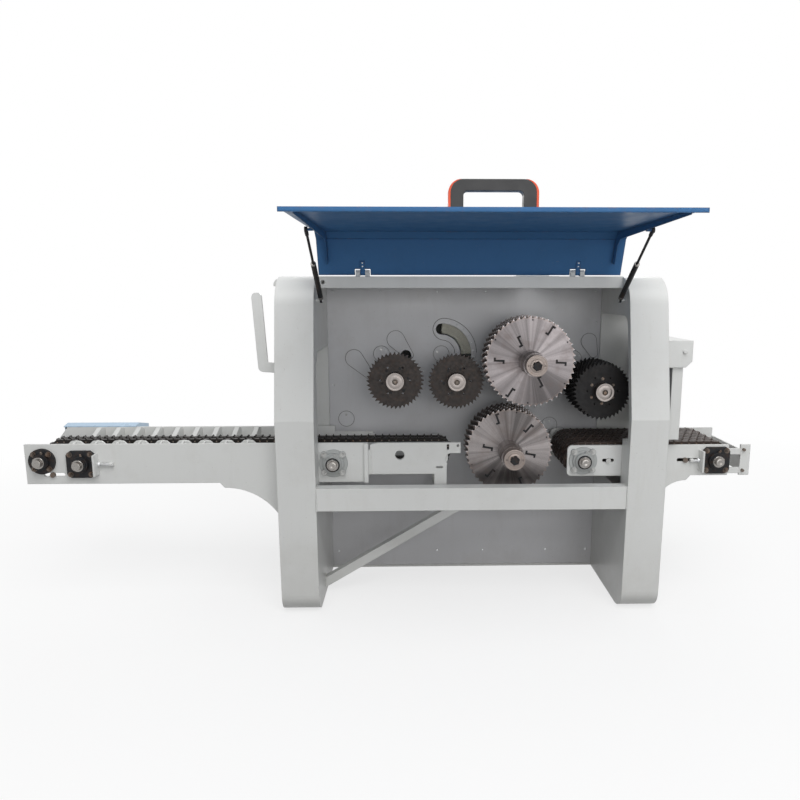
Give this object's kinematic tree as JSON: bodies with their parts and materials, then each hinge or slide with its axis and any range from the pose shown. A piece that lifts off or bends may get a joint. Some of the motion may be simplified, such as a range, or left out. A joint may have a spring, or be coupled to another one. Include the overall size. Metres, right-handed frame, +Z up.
{
  "type": "multi rip saw",
  "caption": "Floor-standing multi rip saw with stacked circular blades on upper and lower arbors, press rollers, chain feed conveyors and a hinged front hood.",
  "frame": {"origin": "on the floor under the middle of the body, halfway between its front bend and its rear edge", "axes": "+X along the feed from infeed to outfeed, +Y away from the operator to the rear, +Z up"},
  "size_m": [3.164, 1.7822, 1.7133],
  "materials": {
    "white_paint": "satin pale grey-white enamel, lightly scuffed",
    "hood_blue": "satin blue enamel, chipped at the edges",
    "motor_blue": "satin dark blue enamel",
    "grey_iron": "grey painted casting",
    "bright_steel": "turned and ground bright steel",
    "dark_steel": "dark oiled steel with brown tarnish",
    "black_iron": "black painted casting",
    "belt_rubber": "matt black rubber",
    "brush_bristle": "brown bristle",
    "black_plastic": "fine-grained black plastic",
    "orange_plastic": "orange-red plastic"
  },
  "bodies": {
    "frame": {"left_pillar": "white_paint", "right_pillar": "white_paint", "front_beam": "white_paint", "top_beam": "white_paint", "chamber_panel": "white_paint", "panel_covers": "white_paint", "brush_seal": "brush_bristle", "brace_frame": "white_paint", "base_tray": "white_paint", "infeed_front_plate": "white_paint", "infeed_back_plate": "white_paint", "conveyor_ties": "white_paint", "log_cradles": "white_paint", "infeed_chain": "dark_steel", "infeed_guard": "hood_blue", "bed_block": "white_paint", "end_bearings": "black_iron", "tension_bearings": "black_iron", "inner_bearings": "grey_iron", "tension_brackets": "white_paint", "outfeed_front_plate": "white_paint", "outfeed_back_plate": "white_paint", "outfeed_end_cap": "white_paint", "outfeed_chain": "dark_steel", "outfeed_hood": "white_paint", "support_arm": "white_paint", "lifting_hooks": "white_paint", "spindle_housings": "grey_iron", "drive_motors": "motor_blue", "drive_belts": "belt_rubber", "feed_gearmotors": "motor_blue", "dust_outlet": "white_paint", "machine_bolts": "bright_steel"},
    "hood": {"hood_panel": "hood_blue", "hood_handle": "black_plastic", "handle_trim": "orange_plastic", "hood_hinges": "hood_blue"},
    "left_strut": {"left_strut_cylinder": "black_iron"},
    "right_strut": {"right_strut_cylinder": "black_iron"},
    "left_rod": {"left_strut_rod": "black_iron"},
    "right_rod": {"right_strut_rod": "black_iron"},
    "upper_spindle": {"upper_arbor": "bright_steel", "upper_blades": "bright_steel"},
    "lower_spindle": {"lower_arbor": "bright_steel", "lower_blades": "bright_steel"},
    "upper_rotor": {"upper_motor_pulley": "dark_steel"},
    "lower_rotor": {"lower_motor_pulley": "dark_steel"},
    "infeed_end_axle": {"infeed_end_shaft": "bright_steel"},
    "infeed_tension_axle": {"infeed_tension_shaft": "bright_steel"},
    "infeed_inner_axle": {"infeed_inner_shaft": "bright_steel"},
    "outfeed_inner_axle": {"outfeed_inner_shaft": "bright_steel"},
    "outfeed_end_axle": {"outfeed_end_shaft": "bright_steel"},
    "first_lever": {"first_arm": "grey_iron"},
    "second_lever": {"second_arm": "grey_iron"},
    "third_lever": {"third_arm": "grey_iron"},
    "first_wheel": {"first_roller": "dark_steel"},
    "second_wheel": {"second_roller": "dark_steel"},
    "third_wheel": {"third_roller": "dark_steel"},
    "flap": {"outfeed_flap": "white_paint"},
    "door": {"rear_door": "white_paint"}
  },
  "joints": [
    {"name": "hood_hinge", "type": "hinge", "parent": "frame", "child": "hood", "pos_m": [0, -0.3513, 1.456], "axis": [1, 0, 0], "range_deg": [0, 84]},
    {"name": "left_strut_pivot", "type": "hinge", "parent": "frame", "child": "left_strut", "pos_m": [-0.632, -0.4113, 1.34], "axis": [1, 0, 0], "range_deg": [0, 103]},
    {"name": "left_rod_slide", "type": "slide", "parent": "left_strut", "child": "left_rod", "axis": [0, -0.8035, 0.5954], "range_m": [-0.133, 0]},
    {"name": "right_strut_pivot", "type": "hinge", "parent": "frame", "child": "right_strut", "pos_m": [0.632, -0.4113, 1.34], "axis": [1, 0, 0], "range_deg": [0, 103]},
    {"name": "right_rod_slide", "type": "slide", "parent": "right_strut", "child": "right_rod", "axis": [0, -0.8035, 0.5954], "range_m": [-0.133, 0]},
    {"name": "upper_spindle_turn", "type": "hinge", "parent": "frame", "child": "upper_spindle", "pos_m": [0.264, 0, 1.074], "axis": [0, 1, 0], "continuous": true},
    {"name": "lower_spindle_turn", "type": "hinge", "parent": "frame", "child": "lower_spindle", "pos_m": [0.18, 0, 0.675], "axis": [0, 1, 0], "continuous": true},
    {"name": "upper_rotor_turn", "type": "hinge", "parent": "frame", "child": "upper_rotor", "pos_m": [-0.33, 0, 0.19], "axis": [0, 1, 0], "continuous": true},
    {"name": "lower_rotor_turn", "type": "hinge", "parent": "frame", "child": "lower_rotor", "pos_m": [0.4, 0, 0.19], "axis": [0, 1, 0], "continuous": true},
    {"name": "infeed_end_turn", "type": "hinge", "parent": "frame", "child": "infeed_end_axle", "pos_m": [-1.819, 0, 0.667], "axis": [0, 1, 0], "continuous": true},
    {"name": "infeed_tension_turn", "type": "hinge", "parent": "frame", "child": "infeed_tension_axle", "pos_m": [-1.657, 0, 0.654], "axis": [0, 1, 0], "continuous": true},
    {"name": "infeed_inner_turn", "type": "hinge", "parent": "frame", "child": "infeed_inner_axle", "pos_m": [-0.59, 0, 0.65], "axis": [0, 1, 0], "continuous": true},
    {"name": "outfeed_inner_turn", "type": "hinge", "parent": "frame", "child": "outfeed_inner_axle", "pos_m": [0.486, 0, 0.655], "axis": [0, 1, 0], "continuous": true},
    {"name": "outfeed_end_turn", "type": "hinge", "parent": "frame", "child": "outfeed_end_axle", "pos_m": [1.064, 0, 0.655], "axis": [0, 1, 0], "continuous": true},
    {"name": "first_arm_swing", "type": "hinge", "parent": "frame", "child": "first_lever", "pos_m": [-0.399, -0.02, 1.081], "axis": [0, -1, 0], "range_deg": [0, 40]},
    {"name": "first_roller_turn", "type": "hinge", "parent": "first_lever", "child": "first_wheel", "pos_m": [-0.32635, 0, 0.98801], "axis": [0, 1, 0], "continuous": true},
    {"name": "second_arm_swing", "type": "hinge", "parent": "frame", "child": "second_lever", "pos_m": [-0.112, -0.02, 1.081], "axis": [0, -1, 0], "range_deg": [0, 45]},
    {"name": "second_roller_turn", "type": "hinge", "parent": "second_lever", "child": "second_wheel", "pos_m": [-0.053, 0, 0.97881], "axis": [0, 1, 0], "continuous": true},
    {"name": "third_arm_swing", "type": "hinge", "parent": "frame", "child": "third_lever", "pos_m": [0.529, -0.02, 1.056], "axis": [0, -1, 0], "range_deg": [0, 26]},
    {"name": "third_roller_turn", "type": "hinge", "parent": "third_lever", "child": "third_wheel", "pos_m": [0.577, 0, 0.9482], "axis": [0, 1, 0], "continuous": true},
    {"name": "flap_swing", "type": "hinge", "parent": "frame", "child": "flap", "pos_m": [0.884, -0.29, 1.13], "axis": [0, -1, 0], "range_deg": [0, 70]},
    {"name": "door_swing", "type": "hinge", "parent": "frame", "child": "door", "pos_m": [0.65, 0.584, 0.7], "axis": [0, 0, -1], "range_deg": [0, 100]}
  ],
  "couplings": [
    {"joint": "left_strut_pivot", "follows": "hood_hinge", "ratio": 1.2171},
    {"joint": "left_rod_slide", "follows": "hood_hinge", "m_per_rad": -0.089826},
    {"joint": "right_strut_pivot", "follows": "hood_hinge", "ratio": 1.2171},
    {"joint": "right_rod_slide", "follows": "hood_hinge", "m_per_rad": -0.089826},
    {"joint": "upper_rotor_turn", "follows": "upper_spindle_turn", "ratio": 0.81818},
    {"joint": "lower_rotor_turn", "follows": "lower_spindle_turn", "ratio": 0.81818},
    {"joint": "infeed_tension_turn", "follows": "infeed_end_turn", "ratio": 1.5098},
    {"joint": "infeed_inner_turn", "follows": "infeed_end_turn", "ratio": 1.7907},
    {"joint": "outfeed_end_turn", "follows": "outfeed_inner_turn", "ratio": 1}
  ]
}
